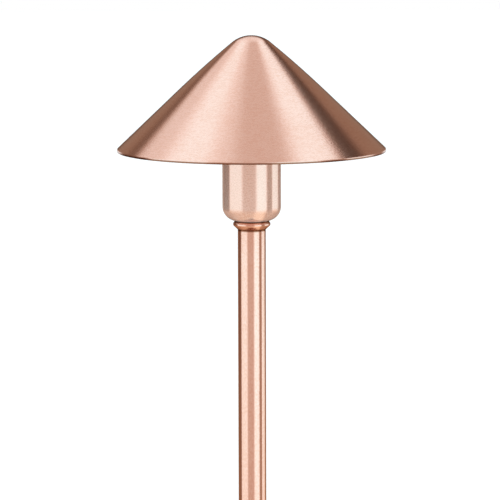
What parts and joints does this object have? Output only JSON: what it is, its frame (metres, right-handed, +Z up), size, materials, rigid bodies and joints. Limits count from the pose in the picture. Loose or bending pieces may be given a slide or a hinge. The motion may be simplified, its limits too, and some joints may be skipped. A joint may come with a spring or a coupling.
{
  "type": "path light",
  "caption": "Copper path light: a conical hat on a yoke over a round lamp cup, on a straight tube stem that screws into a finned ground stake.",
  "frame": {"origin": "on the light's axis at ground level, under the stake's flange", "axes": "+Z up along the stem, +Y towards the cable outlet, the thumb screws along X"},
  "size_m": [0.2032, 0.2032, 0.775],
  "materials": {
    "hat_copper": "fine circular brushing, satin",
    "cup_copper": "polished",
    "collar_copper": "turned, bright",
    "stem_copper": "drawn tube, bright",
    "brass": "turned",
    "thumb_brass": "turned, fluted edge",
    "steel": "plain stainless",
    "bracket_steel": "zinc plated",
    "contact_metal": "nickel plated",
    "lamp_lead_wire": "drawn wire",
    "tungsten": "matt",
    "lamp_glass": "clear",
    "ceramic": "unglazed",
    "silicone": "matt",
    "rubber": "matt",
    "wire_insulation": "satin",
    "connector_plastic": "smooth",
    "stake_plastic": "moulded"
  },
  "bodies": {
    "stand": {"ground_stake": "stake_plastic", "cable_grommet": "rubber", "stem": "stem_copper", "stem_insert": "brass", "neck_collar": "collar_copper", "neck_gasket": "silicone", "neck_nipple": "brass", "floor_washer": "steel", "cup_lock_washer": "steel", "cup_lock_nut": "brass", "wire_grommet": "rubber", "lamp_cup": "cup_copper", "cup_inserts": "brass", "socket_bracket": "bracket_steel", "socket_screws": "steel", "lamp_socket": "ceramic", "socket_contacts": "contact_metal", "lead_wires": "wire_insulation", "wire_connectors": "connector_plastic"},
    "hat_unit": {"hat": "hat_copper", "hat_boss": "brass", "hat_yoke": "brass", "hat_screw": "steel", "hat_lock_washer": "steel"},
    "bulb": {"lamp_glass": "lamp_glass", "lamp_leads": "lamp_lead_wire", "lamp_filament": "tungsten"},
    "left_slide": {"thumb_washer_left": "steel"},
    "left_thumb": {"thumb_screw_left": "thumb_brass"},
    "right_slide": {"thumb_washer_right": "steel"},
    "right_thumb": {"thumb_screw_right": "thumb_brass"}
  },
  "joints": [
    {"name": "hat_lift", "type": "slide", "parent": "stand", "child": "hat_unit", "axis": [0, 0, 1], "range_m": [0, 0.1]},
    {"name": "lamp_pull", "type": "slide", "parent": "stand", "child": "bulb", "axis": [0, 0, 1], "range_m": [0, 0.012]},
    {"name": "left_thumb_travel", "type": "slide", "parent": "stand", "child": "left_slide", "axis": [-1, 0, 0], "range_m": [0, 0.00141]},
    {"name": "left_thumb_turn", "type": "hinge", "parent": "left_slide", "child": "left_thumb", "pos_m": [-0.025, 0, 0.4727], "axis": [-1, 0, 0], "range_deg": [0, 720]},
    {"name": "right_thumb_travel", "type": "slide", "parent": "stand", "child": "right_slide", "axis": [1, 0, 0], "range_m": [0, 0.00141]},
    {"name": "right_thumb_turn", "type": "hinge", "parent": "right_slide", "child": "right_thumb", "pos_m": [0.025, 0, 0.4727], "axis": [1, 0, 0], "range_deg": [0, 720]}
  ],
  "couplings": [
    {"joint": "left_thumb_travel", "follows": "left_thumb_turn", "m_per_rad": 0.00011141},
    {"joint": "right_thumb_travel", "follows": "right_thumb_turn", "m_per_rad": 0.00011141}
  ]
}
